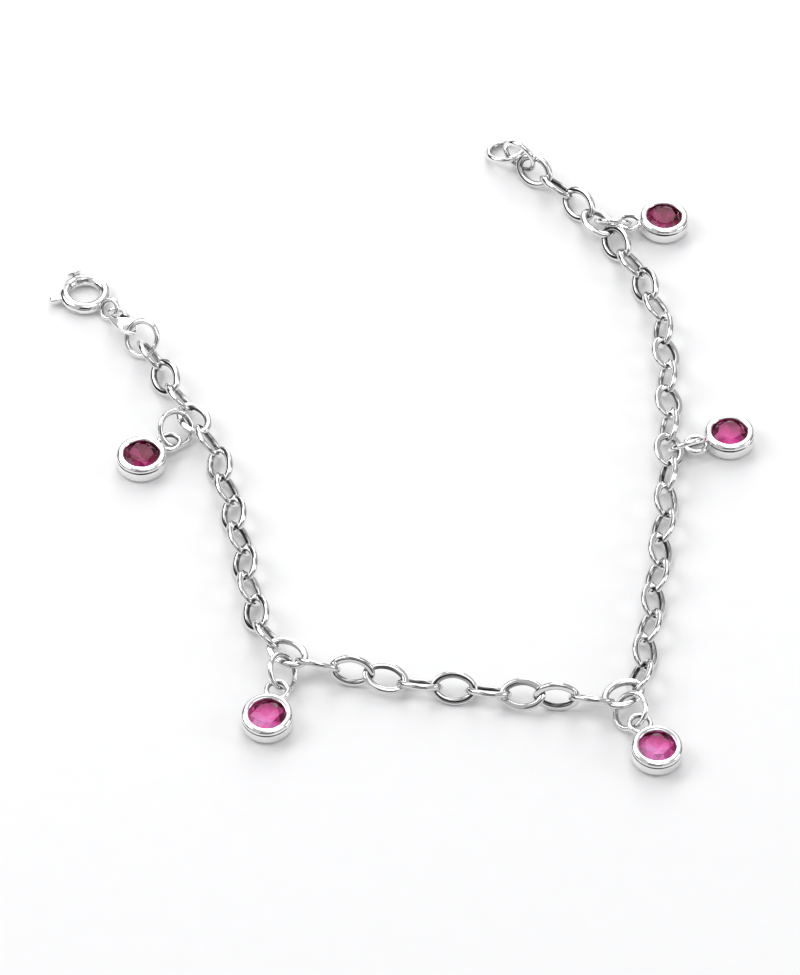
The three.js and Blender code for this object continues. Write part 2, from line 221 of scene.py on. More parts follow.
@dataclass(frozen=True)
class RingSize:
    """The sizes of a ring of round wire, its faceting, and how much painted shade and dullness its
    innermost line takes.
    """

    outer: float
    wire: float
    steps: int = 72
    sides: int = 18
    inner_shade: float = 0.6

    @property
    def radius(self) -> float:
        """The radius of the wire's middle."""
        return (self.outer - self.wire) / 2


LINK = LinkSize()
JUMP_RING = RingSize(5.0, 0.68)
CATCH_RING = RingSize(5.2, 0.8)
CHARM_EYE = RingSize(3.2, 0.65, 56, 16, 0.8)
CLASP_EYE = RingSize(3.0, 0.6, 56, 16, 0.8)
PLAY = 0.18
FLOOR_GAP = 0.03
# How far a soldered eye or tab is sunk into its piece, and how far a drop's middle is shifted.
SOLDER_BITE = 0.35
SOLDER_SHIFT = 0.05
JOINT_GAP = 0.05


@dataclass
class LeanRing:
    """A tilted ring whose low side rests on the surface."""

    tilt: float
    low: float
    size: RingSize
    centre: Vector = field(default_factory=Vector)

    @property
    def uphill(self) -> Vector:
        """The way from the ring's middle to its high side."""
        return -on_bearing(self.low, self.tilt)

    @property
    def level(self) -> Vector:
        """The level way in the ring's plane."""
        return on_bearing(self.low + 90)

    @property
    def height(self) -> float:
        """The height of the ring's middle."""
        rise = math.sin(math.radians(self.tilt))
        return self.size.radius * rise + self.size.wire / 2 + FLOOR_GAP

    def towards(self, height: float, reach: float, side: int) -> Vector:
        """Give the way from the middle to a point in the ring's plane.

        Args:
            height: The point's height.
            reach: The point's distance from the middle.
            side: 1 or -1 for the side of the slope that it is on.

        Returns:
            A unit vector.
        """
        climb = (height - self.height) / (reach * math.sin(math.radians(self.tilt)))
        climb = min(1.0, max(-1.0, climb))
        return self.uphill * climb + self.level * (side * math.sqrt(1 - climb * climb))

    def reach_in(self, wire: float, share: float) -> float:
        """Give how far out a hooked wire lies, from its thickness and its share of the room."""
        return (self.size.radius - (self.size.wire + wire) / 2 - PLAY) * share

    def hook(self, hold: Vector, side: int, share: float) -> LeanRing:
        """Move the ring so that it hooks round a link's wire.

        Args:
            hold: The middle of the wire.
            side: The side of the ring's slope that the wire is on.
            share: How far out the wire lies, as a share of the room.

        Returns:
            The ring itself.
        """
        reach = self.reach_in(LINK.wire, share)
        self.centre = hold - self.towards(hold.z, reach, side) * reach
        return self

    def place_at(self, angle: float, distance: float) -> Vector:
        """Give a place in the ring's plane.

        Args:
            angle: Degrees round from the high side.
            distance: The distance from the middle.

        Returns:
            The place.
        """
        turn = math.radians(angle)
        way = self.uphill * math.cos(turn) + self.level * math.sin(turn)
        return self.centre + way * distance

    def matrix(self) -> Matrix:
        """Give the ring's frame: x uphill, y level."""
        return frame_at(self.centre, self.uphill, self.level)


def lay_chain() -> list[LinkPlace]:
    """Lay the links end to end.

    Returns:
        The place of every link, from the clasp's end to the other.
    """
    links: list[LinkPlace] = []
    for run in LAY:
        for k in range(run.links):
            heading = run.start + (run.stop - run.start) * k / max(run.links - 1, 1)
            roll = math.radians(run.even if len(links) % 2 == 0 else run.odd)
            height = LINK.half_width * abs(math.sin(roll)) + LINK.wire / 2
            links.append(LinkPlace(heading, roll, height))
    for charm in CHARM_POSES:
        links[charm.link].roll = math.radians(charm.roll)
        links[charm.link].height = charm.height
    place = Vector((0.0, 0.0, links[0].height))
    for i, link in enumerate(links):
        after = links[min(i + 1, len(links) - 1)]
        end = place + on_bearing(link.heading) * LINK.pitch
        end.z = max(link.height, after.height)
        link.centre = (place + end) / 2
        link.along = (end - place).normalized()
        level = UP.cross(link.along).normalized()
        upright = link.along.cross(level)
        link.across = level * math.cos(link.roll) + upright * math.sin(link.roll)
        place = end
    return links


class Mould:
    """A mesh in the making, shaped with mesh operators."""

    def __init__(self) -> None:
        """Start with nothing."""
        self.mesh = bmesh.new()
        # The "hollow" layer holds painted shade, which also makes the silver rougher.
        self.mesh.verts.layers.float.new("hollow")

    def circle(self, radius: float, sides: int, matrix: Matrix) -> Verts:
        """Add an open circle in the xy plane of a frame, and give its vertices."""
        made = bmesh.ops.create_circle(
            self.mesh, cap_ends=False, segments=sides, radius=radius, matrix=matrix
        )
        return made["verts"]

    def section(
        self,
        radius: float,
        wire: float,
        sides: int,
        squareness: float = 2.0,
        height_share: float = 1.0,
    ) -> Verts:
        """Add a wire's cross section, standing in the xz plane.

        Args:
            radius: Its distance from the z axis.
            wire: The wire's thickness.
            sides: Its number of sides.
            squareness: 2 for a round section; more flattens its four sides.
            height_share: The section's height as a share of its width.

        Returns:
            The section's vertices.
        """
        stand = Matrix.Translation((radius, 0, 0)) @ Matrix.Rotation(math.pi / 2, 4, "X")
        verts = self.circle(wire / 2, sides, stand)
        for vert in verts:
            out, rise = vert.co.x - radius, vert.co.z
            reach = (abs(out) ** squareness + abs(rise) ** squareness) ** (1 / squareness)
            grow = wire / 2 / reach
            vert.co = Vector((radius + out * grow, 0.0, rise * grow * height_share))
        return verts

    def spin(self, verts: Verts, steps: int, angle: float = FULL_TURN) -> None:
        """Spin a section round the z axis.

        Args:
            verts: The section's vertices.
            steps: The number of steps.
            angle: The angle in radians; a full turn closes on itself.
        """
        edges = dict.fromkeys(edge for vert in verts for edge in vert.link_edges)
        bmesh.ops.spin(
            self.mesh,
            geom=[*verts, *edges],
            cent=(0, 0, 0),
            axis=UP,
            dvec=(0, 0, 0),
            angle=angle,
            steps=steps,
            use_merge=angle >= FULL_TURN,
            use_duplicate=False,
        )

    def ring(self, size: RingSize) -> None:
        """Add a closed ring of wire round the z axis, with painted shade and dullness on its inner
        side.
        """
        self.spin(self.section(size.radius, size.wire, size.sides), size.steps)
        self.shade_inside(size)

    def split_ring(self, size: RingSize) -> None:
        """Add a ring whose two cut ends meet at the x axis, with their rims rounded.

        Args:
            size: The ring's sizes.
        """
        open_angle = JOINT_GAP / size.radius
        section = self.section(size.radius, size.wire, size.sides)
        self.spin(section, size.steps, FULL_TURN - open_angle)
        self.place(Matrix.Rotation(open_angle / 2, 4, "Z"))
        rims = self.rims()
        self.cap(rims)
        self.bevel(rims, JOINT_GAP / 2, 2)
        self.shade_inside(size)

    def rims(self) -> Edges:
        """List the open edges."""
        return [edge for edge in self.mesh.edges if edge.is_boundary]

    def paint_shade(self, value_of: Callable[[Vector], float]) -> None:
        """Store how much painted shade the silver takes at each vertex; the same value makes it
        duller.

        Args:
            value_of: The painted shade and dullness at a place, kept between 0 and 1.
        """
        layer = self.mesh.verts.layers.float["hollow"]
        for vert in self.mesh.verts:
            vert[layer] = keep_share(value_of(vert.co))

    def shade_inside(self, size: RingSize) -> None:
        """Paint shade on the inner side of a ring round the z axis, and dull it, fading towards its
        outer side.

        Args:
            size: The ring's sizes.
        """
        fade = 0.6

        def inside(where: Vector) -> float:
            """Give how much painted shade, and dullness, a place on the wire takes."""
            depth = (size.radius - math.hypot(where.x, where.y)) / (size.wire / 2)
            return size.inner_shade * ((1 + fade) * depth - fade)

        self.paint_shade(inside)

    def cap(self, edges: Edges) -> None:
        """Close the holes that lie within some open edges."""
        bmesh.ops.edgeloop_fill(self.mesh, edges=edges)

    def bevel(self, edges: Edges, width: float, segments: int) -> None:
        """Round some edges.

        Args:
            edges: The edges.
            width: How far the round reaches to each side.
            segments: The number of faces across the round.
        """
        bmesh.ops.bevel(
            self.mesh,
            geom=edges,
            offset=width,
            offset_type="OFFSET",
            segments=segments,
            profile=0.5,
            affect="EDGES",
            clamp_overlap=True,
            material=-1,
        )

    def corner(self, radius: float, height: float) -> Edges:
        """Find the edges that run round the z axis through a corner of a spun profile.

        Args:
            radius: The corner's distance from the axis.
            height: The corner's height.

        Returns:
            The edges.
        """
        near = 0.002

        def is_on(vert: bmesh.types.BMVert) -> bool:
            """Tell whether a vertex lies on the corner's circle."""
            out = math.hypot(vert.co.x, vert.co.y)
            return abs(out - radius) < near and abs(vert.co.z - height) < near

        return [edge for edge in self.mesh.edges if all(is_on(v) for v in edge.verts)]

    def lathe(self, profile: Sequence[tuple[float, float]], steps: int) -> None:
        """Spin a profile that starts and ends on the z axis into a closed solid.

        Args:
            profile: Distances from the axis and heights.
            steps: Steps round the axis.
        """
        verts = [self.mesh.verts.new((radius, 0.0, height)) for radius, height in profile]
        for first, second in zip(verts, verts[1:]):
            self.mesh.edges.new((first, second))
        self.spin(verts, steps)
        bmesh.ops.remove_doubles(self.mesh, verts=self.mesh.verts, dist=0.001)

    def block(
        self, low: Vector, high: Vector, matrix: Matrix, width: float, segments: int
    ) -> None:
        """Add a rounded block.

        Args:
            low: Its lowest corner.
            high: Its highest corner.
            matrix: Its frame.
            width: The radius of its edges.
            segments: The number of faces across an edge.
        """
        size = Matrix.Diagonal((*(high - low), 1))
        made = bmesh.ops.create_cube(
            self.mesh, size=1, matrix=matrix @ Matrix.Translation((low + high) / 2) @ size
        )
        edges = dict.fromkeys(edge for vert in made["verts"] for edge in vert.link_edges)
        self.bevel(list(edges), width, segments)

    def solder(self, radius: float, shape: Triple, matrix: Matrix) -> None:
        """Add a drop of solder: a ball that is stretched to a shape, in a frame."""
        matrix = matrix @ Matrix.Diagonal((*shape, 1))
        bmesh.ops.create_icosphere(self.mesh, subdivisions=3, radius=radius, matrix=matrix)

    def sharp_edges(self, angle: float) -> Edges:
        """List the edges whose faces meet at more than an angle in degrees."""
        limit = math.radians(angle)
        return [e for e in self.mesh.edges if e.is_manifold and e.calc_face_angle() > limit]

    def face_out(self) -> None:
        """Turn the faces outward."""
        bmesh.ops.recalc_face_normals(self.mesh, faces=self.mesh.faces)

    def place(self, matrix: Matrix) -> None:
        """Move the whole shape into a frame."""
        bmesh.ops.transform(self.mesh, matrix=matrix, verts=self.mesh.verts)

    def join(self, part: Mould, matrix: Matrix) -> None:
        """Take in another mould's shape, and empty that mould.

        Args:
            part: The other mould.
            matrix: The frame that its shape is moved into.
        """
        part.place(matrix)
        mesh = part.to_mesh("part", 1.0)
        self.mesh.from_mesh(mesh)
        bpy.data.meshes.remove(mesh)

    def to_mesh(self, name: str, scale: float = MM) -> bpy.types.Mesh:
        """Turn the faces outward and make the mesh.

        Args:
            name: The mesh's name.
            scale: The mesh's units per unit of the mould.

        Returns:
            The mesh.
        """
        self.face_out()
        bmesh.ops.scale(self.mesh, vec=(scale, scale, scale), verts=self.mesh.verts)
        mesh = bpy.data.meshes.new(name)
        self.mesh.to_mesh(mesh)
        self.mesh.free()
        return mesh


class Signal:
    """A socket of a node tree that takes part in expressions."""

    def __init__(self, recipe: Recipe, socket: bpy.types.NodeSocket) -> None:
        """Wrap an output socket of a recipe's tree."""
        self.recipe = recipe
        self.socket = socket

    def math(self, operation: str, *values: Signal | float) -> Signal:
        """Add a Math node with an operation and its inputs."""
        settings = {"operation": operation}
        return self.recipe.node("ShaderNodeMath", settings, dict(enumerate(values)))

    def __add__(self, other: Signal | float) -> Signal:
        """Add."""
        return self.math("ADD", self, other)

    def __radd__(self, other: float) -> Signal:
        """Add to a number."""
        return self.math("ADD", other, self)

    def __mul__(self, other: Signal | float) -> Signal:
        """Multiply."""
        return self.math("MULTIPLY", self, other)

    def __rmul__(self, other: float) -> Signal:
        """Multiply a number."""
        return self.math("MULTIPLY", other, self)

    def clamp(self) -> Signal:
        """Keep between 0 and 1."""
        return self.math("MINIMUM", self.math("MAXIMUM", self, 0.0), 1.0)


class Recipe:
    """A material whose nodes are added one by one."""

    def __init__(self, name: str) -> None:
        """Start an empty material of a name."""
        self.material = bpy.data.materials.new(name)
        self.material.use_nodes = True
        self.tree = self.material.node_tree
        self.tree.nodes.clear()

    def node(
        self,
        kind: str,
        settings: dict[str, object] | None = None,
        values: Values | None = None,
        output: str | int = 0,
    ) -> Signal:
        """Add a node.

        Args:
            kind: The node's type.
            settings: Its properties, set first; "stops" gives a ramp's stops.
            values: Values or links of its sockets, by name or number.
            output: The output that is wanted.

        Returns:
            That output.
        """
        node = self.tree.nodes.new(kind)
        for key, value in (settings or {}).items():
            if key == "stops":
                self.set_stops(node.color_ramp, value)
            else:
                setattr(node, key, value)
        for key, value in (values or {}).items():
            if isinstance(value, Signal):
                self.tree.links.new(value.socket, node.inputs[key])
            else:
                node.inputs[key].default_value = value
        return Signal(self, node.outputs[output])

    def set_stops(
        self, ramp: bpy.types.ColorRamp, stops: Sequence[tuple[float, Sequence[float]]]
    ) -> None:
        """Give a ramp its stops.

        Args:
            ramp: The ramp.
            stops: Positions and colours, in order.
        """
        while len(ramp.elements) > 1:
            ramp.elements.remove(ramp.elements[-1])
        for i, (position, colour) in enumerate(stops):
            element = ramp.elements[0] if i == 0 else ramp.elements.new(position)
            element.position = position
            element.color = colour

    def coordinates(self) -> Signal:
        """Give the coordinates of the object."""
        return self.node("ShaderNodeTexCoord", output="Object")

    def attribute(self, name: str) -> Signal:
        """Give the number that a mesh attribute holds."""
        return self.node("ShaderNodeAttribute", {"attribute_name": name}, output="Fac")

    def noise(self, where: Signal, scale: float, detail: float = 2.0) -> Signal:
        """Add a noise of about 0 to 1, with a scale in lumps per metre and finer layers."""
        values = {"Vector": where, "Scale": scale, "Detail": detail, "Roughness": 0.55}
        return self.node("ShaderNodeTexNoise", {}, values)

    def mix(self, share: Signal, first: object, second: object) -> Signal:
        """Mix a share of the second colour into the first; each may be a colour's socket."""
        values = {0: share, 6: first, 7: second}
        return self.node("ShaderNodeMix", {"data_type": "RGBA"}, values, output=2)

    def bump(self, height: Signal, distance: float, normal: Signal | None = None) -> Signal:
        """Add a bump.

        Args:
            height: The height, 0 to 1.
            distance: The depth in metres.
            normal: A bump that this one goes on top of.

        Returns:
            The normal.
        """
        values: Values = {"Height": height, "Distance": distance}
        if normal is not None:
            values["Normal"] = normal
        return self.node("ShaderNodeBump", {}, values)

    def finish(self, values: Values) -> bpy.types.Material:
        """Add the surface and the output.

        Args:
            values: The sockets of the surface.

        Returns:
            The material.
        """
        surface = self.node("ShaderNodeBsdfPrincipled", {}, values)
        end = self.tree.nodes.new("ShaderNodeOutputMaterial")
        self.tree.links.new(surface.socket, end.inputs["Surface"])
        return self.material


@dataclass(frozen=True)
class SilverFinish:
    """Polished silver: a faint waviness, hairline scratches, and painted shade in its hollows,
    which are also duller.
    """

    name: str
    bright: Colour = (0.955, 0.95, 0.94, 1)
    shade: Colour = (0.86, 0.86, 0.865, 1)
    painted_shade: Colour = (0.06, 0.055, 0.055, 1)
    wave_scale: float = 650.0
    wave_depth: float = 0.006 * MM
    scratch_scale: float = 9000.0
    scratch_depth: float = 0.0006 * MM
    scratch_stretch: Triple = (1.0, 0.12, 0.6)
    polish: float = 0.05
    wear: float = 0.12
    hollow_wear: float = 0.15
    hollow_shade: float = 0.8
    patch_shade: float = 0.5

    def make(self) -> bpy.types.Material:
        """Make the material.

        Returns:
            The material; it reads the mesh attribute "hollow" for its painted shade and dull
            places.
        """
        recipe = Recipe(self.name)
        where = recipe.coordinates()
        wave = recipe.noise(where, self.wave_scale, 1.0)
        stretched = recipe.node(
            "ShaderNodeMapping", {}, {"Vector": where, "Scale": self.scratch_stretch}
        )
        scratch = recipe.noise(stretched, self.scratch_scale, 3.0)
        patch = recipe.noise(where, self.wave_scale / 2, 3.0)
        hollow = recipe.attribute("hollow")
        clean = recipe.mix(patch, self.bright, self.shade)
        # Painted shade in the hollows, made uneven by the patch noise.
        dark = (hollow * (self.hollow_shade + self.patch_shade * patch)).clamp()
        colour = recipe.mix(dark, clean, self.painted_shade)
        worn = self.polish + self.wear * (patch * scratch)
        rough = (worn + self.hollow_wear * hollow).clamp()
        normal = recipe.bump(wave, self.wave_depth)
        normal = recipe.bump(scratch, self.scratch_depth, normal)
        return recipe.finish(
            {"Base Color": colour, "Metallic": 1.0, "Roughness": rough, "Normal": normal}
        )


@dataclass(frozen=True)
class CrownFinish:
    """The clear upper facets of a stone, tinted pink, with painted dark reflections on some facets.
    """

    name: str
    clear: Colour = (1.0, 0.82, 0.95, 1)
    painted_dark: Colour = (0.02, 0.0, 0.004, 1)
    index: float = 1.36
    polish: float = 0.015
    haze_scale: float = 1400.0
    haze_wear: float = 0.02

    def make(self) -> bpy.types.Material:
        """Make the material; it reads the mesh attribute "facet" for each facet's painted dark
        reflection.
        """
        recipe = Recipe(self.name)
        haze = recipe.noise(recipe.coordinates(), self.haze_scale)
        return recipe.finish(
            {
                "Base Color": recipe.mix(recipe.attribute("facet"), self.painted_dark, self.clear),
                "Transmission Weight": 1.0,
                "IOR": self.index,
                "Roughness": self.polish + self.haze_wear * haze,
            }
        )


@dataclass(frozen=True)
class FoilFinish:
    """The mirrored lower facets of a stone, seen through its crown, coloured with painted flashes
    and shade, and glowing with painted light.
    """

    name: str
    painted_dark: Colour = (0.26, 0.002, 0.06, 1)
    body: Colour = (0.92, 0.09, 0.46, 1)
    flash: Colour = (1.0, 0.42, 0.84, 1)
    stops: Triple = (0.05, 0.5, 0.9)
    painted_glow: float = 0.25
    metal: float = 0.15
    cloud_scale: float = 900.0
    glow_share: float = 0.68
    facet_share: float = 0.26
    cloud_share: float = 0.06
    polish: float = 0.4
    cloud_wear: float = 0.1

    def make(self) -> bpy.types.Material:
        """Make the material.

        Returns:
            The material; it reads the mesh attributes "facet" and "glow" for its painted light and
            shade.
        """
        recipe = Recipe(self.name)
        cloud = recipe.noise(recipe.coordinates(), self.cloud_scale)
        facet, glow = recipe.attribute("facet"), recipe.attribute("glow")
        shade = glow * self.glow_share + facet * self.facet_share + cloud * self.cloud_share
        # Painted dark, the stone's own body colour, and a painted flash.
        stops = list(zip(self.stops, (self.painted_dark, self.body, self.flash)))
        colour = recipe.node("ShaderNodeValToRGB", {"stops": stops}, {0: shade.clamp()})
        return recipe.finish(
            {
                "Base Color": colour,
                "Metallic": self.metal,
                "Roughness": self.polish + self.cloud_wear * cloud,
                # The painted glow also shines as emission, though the foil is no lamp.
                "Emission Color": colour,
                "Emission Strength": self.painted_glow,
            }
        )


@dataclass(frozen=True)
class FloorFinish:
    """A plain, pale, faintly soft surface."""

    name: str = "pale_floor"
    pale: Colour = (0.86, 0.86, 0.865, 1)
    paler: Colour = (0.885, 0.885, 0.89, 1)
    grain_scale: float = 300.0
    roughness: float = 0.55

    def make(self) -> bpy.types.Material:
        """Make the material."""
        recipe = Recipe(self.name)
        grain = recipe.noise(recipe.coordinates(), self.grain_scale)
        colour = recipe.mix(grain, self.pale, self.paler)
        return recipe.finish({"Base Color": colour, "Roughness": self.roughness})


@dataclass(frozen=True)
class CardFinish:
    """Dull black board."""

    name: str = "black_board"
    dark: Colour = (0.02, 0.02, 0.022, 1)
    roughness: float = 0.9

    def make(self) -> bpy.types.Material:
        """Make the material."""
        recipe = Recipe(self.name)
        return recipe.finish({"Base Color": self.dark, "Roughness": self.roughness})


@dataclass
class Finishes:
    """The finishes that the pieces share."""

    chain: bpy.types.Material
    silver: bpy.types.Material
    crown: bpy.types.Material
    foil: bpy.types.Material

    @classmethod
    def make(cls) -> Finishes:
        """Make them all."""
        return cls(
            chain=SilverFinish(
                "silver_links",
                bright=(0.87, 0.86, 0.855, 1),
                shade=(0.68, 0.675, 0.68, 1),
                wave_depth=0.008 * MM,
            ).make(),
            silver=SilverFinish("silver_polished").make(),
            crown=CrownFinish("stone_crown").make(),
            foil=FoilFinish("stone_foil").make(),
        )


def add_object(name: str, data: bpy.types.ID) -> bpy.types.Object:
    """Add an object of a name that shows some data."""
    made = bpy.data.objects.new(name, data)
    bpy.context.scene.collection.objects.link(made)
    return made


def add_board(
    name: str, width: float, height: float, material: bpy.types.Material
) -> bpy.types.Object:
    """Add a flat board of the studio, round the origin.

    Args:
        name: Its name.
        width: Its size on x, in metres.
        height: Its size on y, in metres.
        material: Its finish.

    Returns:
        The board.
    """
    shape = bmesh.new()
    bmesh.ops.create_grid(shape, x_segments=1, y_segments=1, size=0.5)
    bmesh.ops.scale(shape, vec=(width, height, 1), verts=shape.verts)
    mesh = bpy.data.meshes.new(name)
    shape.to_mesh(mesh)
    shape.free()
    mesh.materials.append(material)
    board = add_object(name, mesh)
    return board


def add_piece(
    mould: Mould,
    name: str,
    materials: Sequence[bpy.types.Material],
    nodes: Sequence[str],
    body: Body = Body.BRACELET,
    smooth_to: float | None = 38.0,
) -> bpy.types.Object:
    """Make a piece of a mould, and tie it to the solids that it stands for.

    Args:
        mould: The shape, in its final place.
        name: The piece's name.
        materials: Its materials.
        nodes: The solids that it replaces.
        body: The body that it moves with.
        smooth_to: Degrees between faces that still shade smoothly; None for flat facets.

    Returns:
        The piece.
    """
    mesh = mould.to_mesh(name)
    for material in materials:
        mesh.materials.append(material)
    if smooth_to is not None:
        mesh.shade_smooth()
        mesh.set_sharp_from_angle(angle=math.radians(smooth_to))
    piece = add_object(name, mesh)
    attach(piece, body.value)
    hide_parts(*nodes)
    LOG.info("%s: %d faces", name, len(mesh.polygons))
    return piece


def paint(mesh: bpy.types.Mesh, name: str, value_of: Callable[[Vector], float]) -> None:
    """Store a number under a name at every vertex of a mesh."""
    attribute = mesh.attributes.new(name, "FLOAT", "POINT")
    attribute.data.foreach_set("value", [value_of(vert.co) for vert in mesh.vertices])


@dataclass
class Chain:
    """The cable chain: flat-cut oval links, each threaded through the last."""

    links: list[LinkPlace]
    steps: int = 56
    sides: int = 20
    wire: float = 0.86
    squareness: float = 2.7
    height_share: float = 0.84
    least_shade: float = 0.45
    shade_spread: float = 0.6

    def shape_link(self, share: float) -> Mould:
        """Shape one link, long on x.

        Args:
            share: How much painted shade, and dullness, its inner side takes.

        Returns:
            The link's mould.
        """
        mould = Mould()
        radius = LINK.half_length
        section = mould.section(
            radius, self.wire, self.sides, self.squareness, self.height_share
        )
        mould.spin(section, self.steps)
        mould.shade_inside(RingSize(2 * radius + self.wire, self.wire, inner_shade=share))
        for vert in mould.mesh.verts:
            angle = math.atan2(vert.co.y, vert.co.x)
            out = math.hypot(vert.co.x, vert.co.y) - radius
            vert.co = self.on_oval(angle) + self.outward(angle) * out + UP * vert.co.z
        return mould

    def on_oval(self, angle: float) -> Vector:
        """Give the place of the wire's middle.

        Args:
            angle: The angle round the oval, in radians from its long side.

        Returns:
            The place.
        """
        power = 2 / LINK.fullness

        def soften(value: float) -> float:
            """Square the oval a little."""
            return math.copysign(abs(value) ** power, value)

        across = LINK.half_width * soften(math.sin(angle))
        return Vector((LINK.half_length * soften(math.cos(angle)), across, 0.0))

    def outward(self, angle: float) -> Vector:
        """Give the way out of the oval at an angle."""
        step = math.pi / self.steps / 4
        along = self.on_oval(angle + step) - self.on_oval(angle - step)
        return along.cross(UP).normalized()

    def build(self, shift: Matrix, finishes: Finishes) -> None:
        """Add the whole chain.

        Args:
            shift: From the lay's frame to the model's.
            finishes: The finishes.
        """
        mould = Mould()
        for i, place in enumerate(self.links):
            # Each link gets its own share of painted shade on its inner side.
            share = self.least_shade + self.shade_spread * (i * GOLDEN % 1)
            mould.join(self.shape_link(share), shift @ place.matrix())
        add_piece(mould, "cable_links", [finishes.chain], ["chain"])


@dataclass
class Stone:
    """A round faceted stone: clear crown above, mirrored pavilion below."""

    diameter: float = 4.9
    seat: float = 1.62
    crown: float = 0.70
    girdle: float = 0.12
    table_share: float = 0.60
    star_share: float = 0.82
    star_rise: float = 0.58
    belly_share: float = 0.5
    belly_rise: float = 0.42
    point_share: float = 0.08
    bottom: float = 0.55
    facets: int = 8
    # Listed picks for the facets: painted flashes and dark reflections.
    picks: tuple[float, ...] = (0.15, 0.62, 0.35, 0.9, 0.5, 0.05, 0.75, 0.28, 1.0, 0.42, 0.58)
    pick_middle: float = 0.4
    pick_spread: float = 0.9
    facet_base: float = 0.24
    facet_side: float = 0.5
    glow_base: float = 0.85
    glow_fall: float = 0.6
    glow_side: float = 0.4
    bright_side: tuple[float, float] = (-0.35, -0.9)

    def build(self, number: int, place: Matrix, finishes: Finishes) -> None:
        """Add the stone.

        Args:
            number: The charm's number.
            place: The bezel's frame.
            finishes: The finishes.
        """
        mould = Mould()
        radius = self.diameter / 2
        belly = self.bottom + (self.seat - self.girdle - self.bottom) * self.belly_rise
        rings = (
            (self.facets, self.table_share, self.seat + self.crown, 0.0),
            (self.facets, self.star_share, self.seat + self.crown * self.star_rise, 0.5),
            (2 * self.facets, 1.0, self.seat, 0.0),
            (2 * self.facets, 1.0, self.seat - self.girdle, 0.0),
            (self.facets, self.belly_share, belly, 0.5),
            (self.facets, self.point_share, self.bottom, 0.5),
        )
        for sides, share, height, turn in rings:
            spin = Matrix.Rotation(FULL_TURN * turn / sides, 4, "Z")
            mould.circle(radius * share, sides, Matrix.Translation((0, 0, height)) @ spin)
        bmesh.ops.convex_hull(mould.mesh, input=mould.mesh.verts, use_existing_faces=False)
        loose = [edge for edge in mould.mesh.edges if not edge.link_faces]
        bmesh.ops.delete(mould.mesh, geom=loose, context="EDGES")
        bmesh.ops.dissolve_limit(
            mould.mesh,
            angle_limit=math.radians(1.0),
            use_dissolve_boundaries=False,
            verts=mould.mesh.verts,
            edges=mould.mesh.edges,
        )
        under = self.seat - self.girdle / 2
        for face in mould.mesh.faces:
            face.material_index = int(face.calc_center_median().z < under)
        mould.place(place)
        piece = add_piece(
            mould,
            f"faceted_stone_{number}",
            [finishes.crown, finishes.foil],
            [f"stone_{number}"],
            smooth_to=None,
        )
        self.shade(piece.data, number, place)

    def shade(self, mesh: bpy.types.Mesh, number: int, place: Matrix) -> None:
        """Store each facet's painted light and shade, and a painted glow that is strongest under
        the table.

        Args:
            mesh: The stone's mesh.
            number: The charm's number.
            place: The bezel's frame.
        """
        back = place.inverted()
        table_from = self.seat + self.crown - 0.02

        def lit(where: Vector) -> tuple[float, float]:
            """Give how far a place lies from the stone's middle, and towards its bright side."""
            offset = (where / MM - place @ Vector((0, 0, self.bottom))) / (self.diameter / 2)
            side = self.bright_side[0] * offset.x + self.bright_side[1] * offset.y
            return math.hypot(offset.x, offset.y), side

        values = []
        for polygon in mesh.polygons:
            is_table = (back @ (polygon.center / MM)).z > table_from
            pick = self.picks[(5 * polygon.index + 3 * number) % len(self.picks)]
            # Facets are painted brighter towards the bright side.
            value = self.facet_base + self.facet_side * lit(polygon.center)[1]
            value += self.pick_spread * (pick - self.pick_middle)
            values.append(1.0 if is_table else keep_share(value))
        facet = mesh.attributes.new("facet", "FLOAT", "FACE")
        facet.data.foreach_set("value", values)

        def glow(where: Vector) -> float:
            """Give how bright the foil's painted glow is at a place."""
            reach, side = lit(where)
            base = self.glow_base + LIGHT_CAUGHT[number - 1]
            return keep_share(base - self.glow_fall * reach**2 + self.glow_side * side)

        paint(mesh, "glow", glow)


